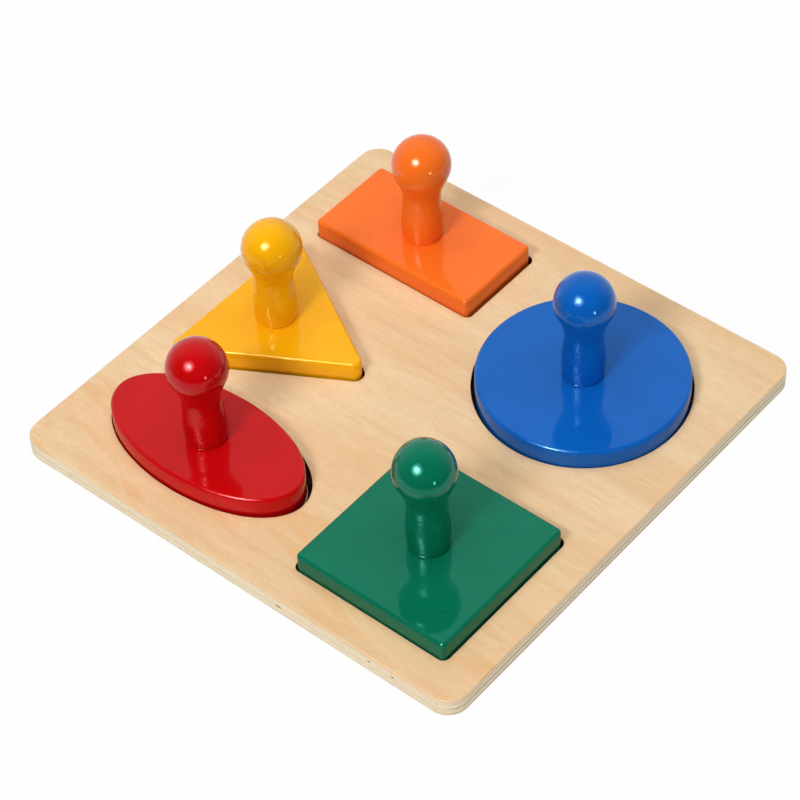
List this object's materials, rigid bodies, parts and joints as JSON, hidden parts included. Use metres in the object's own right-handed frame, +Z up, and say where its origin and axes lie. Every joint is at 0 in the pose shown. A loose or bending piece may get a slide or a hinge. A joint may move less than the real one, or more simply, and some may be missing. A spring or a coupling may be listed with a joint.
{
  "type": "knobbed shape puzzle",
  "caption": "Square plywood board with recesses holding loose painted wooden insets, a circle, square, rectangle, ellipse and triangle, each lifted out by its ball knob.",
  "frame": {"origin": "middle of the board's flat underside", "axes": "+Z up out of the board, the way the insets lift; +X and +Y along the board's edges, with the circle in the +X +Y quarter and the square in the +X -Y quarter"},
  "size_m": [0.24, 0.24, 0.0732],
  "materials": {
    "plywood": "clear satin varnish on pale plywood",
    "blue_lacquer": "high gloss blue paint on wood",
    "green_lacquer": "high gloss green paint on wood",
    "orange_lacquer": "high gloss orange paint on wood",
    "red_lacquer": "high gloss red paint on wood",
    "yellow_lacquer": "high gloss yellow paint on wood",
    "screw_steel": "zinc plated steel"
  },
  "bodies": {
    "board": {"base_panel": "plywood", "frame_panel": "plywood"},
    "circle_piece": {"circle_inset": "blue_lacquer", "circle_knob": "blue_lacquer", "circle_screw": "screw_steel"},
    "square_piece": {"square_inset": "green_lacquer", "square_knob": "green_lacquer", "square_screw": "screw_steel"},
    "rectangle_piece": {"rectangle_inset": "orange_lacquer", "rectangle_knob": "orange_lacquer", "rectangle_screw": "screw_steel"},
    "ellipse_piece": {"ellipse_inset": "red_lacquer", "ellipse_knob": "red_lacquer", "ellipse_screw": "screw_steel"},
    "triangle_piece": {"triangle_inset": "yellow_lacquer", "triangle_knob": "yellow_lacquer", "triangle_screw": "screw_steel"}
  },
  "joints": [
    {"name": "circle_lift", "type": "slide", "parent": "board", "child": "circle_piece", "axis": [0, 0, 1], "range_m": [0, 0.08]},
    {"name": "square_lift", "type": "slide", "parent": "board", "child": "square_piece", "axis": [0, 0, 1], "range_m": [0, 0.08]},
    {"name": "rectangle_lift", "type": "slide", "parent": "board", "child": "rectangle_piece", "axis": [0, 0, 1], "range_m": [0, 0.08]},
    {"name": "ellipse_lift", "type": "slide", "parent": "board", "child": "ellipse_piece", "axis": [0, 0, 1], "range_m": [0, 0.08]},
    {"name": "triangle_lift", "type": "slide", "parent": "board", "child": "triangle_piece", "axis": [0, 0, 1], "range_m": [0, 0.08]}
  ]
}
